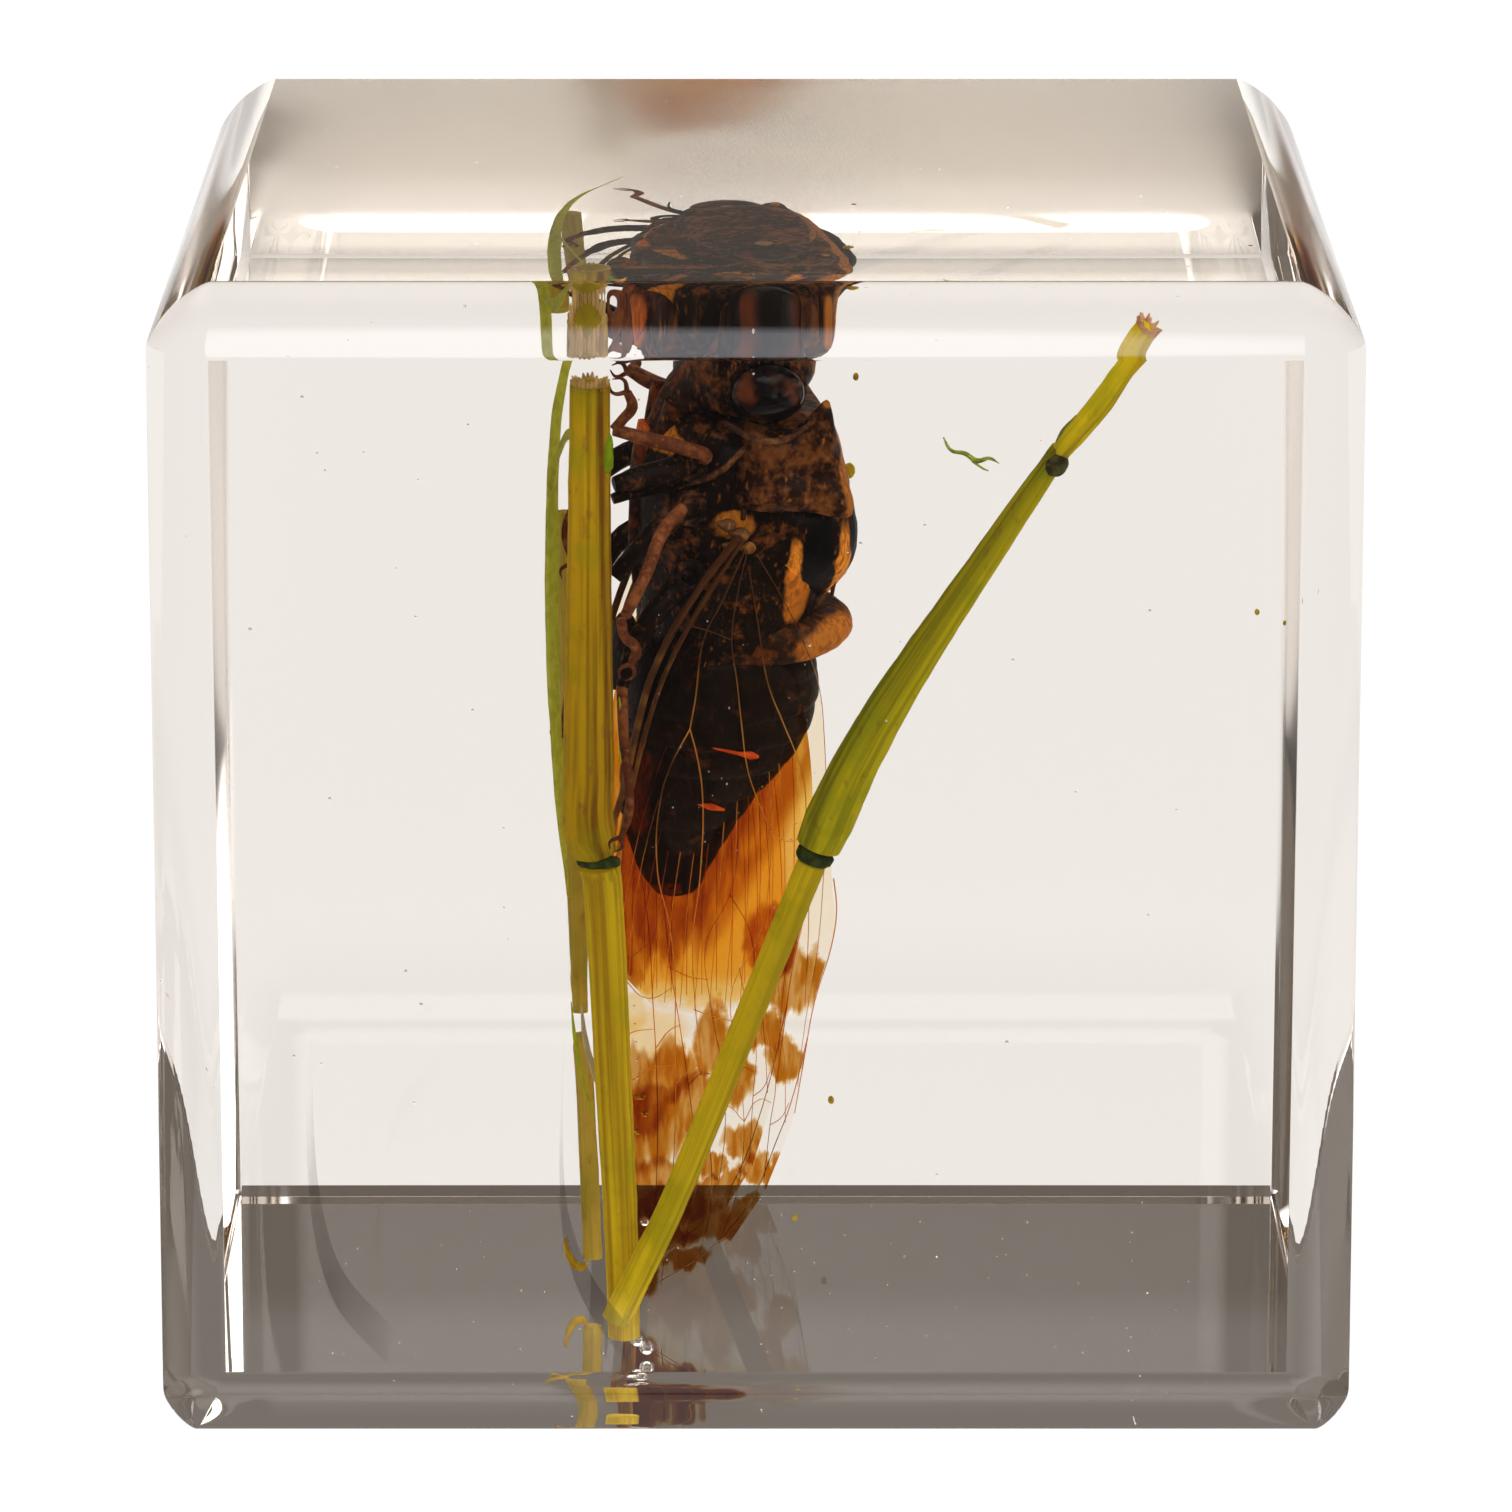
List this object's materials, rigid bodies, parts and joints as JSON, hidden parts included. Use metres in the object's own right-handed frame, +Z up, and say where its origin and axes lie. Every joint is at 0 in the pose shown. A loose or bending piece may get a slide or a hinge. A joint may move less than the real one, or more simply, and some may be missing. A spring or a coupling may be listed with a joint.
{
  "type": "insect in resin block",
  "caption": "Clear cast resin block with rounded polished edges, with a dried cicada on plant stems sealed inside for display.",
  "frame": {"origin": "centre of the block's underside", "axes": "+Z up, -Y towards the viewed front face, +X to the right"},
  "size_m": [0.045, 0.045, 0.044],
  "materials": {
    "clear_resin": "water-clear cast resin, polished",
    "insect_shell": "dry dark brown chitin, glossy, amber where thin",
    "insect_wing": "thin amber wing membrane with darker veins and mottles",
    "dried_stem": "dried yellow-green grass stem"
  },
  "bodies": {
    "root": {"resin_block": "clear_resin"}
  },
  "joints": []
}
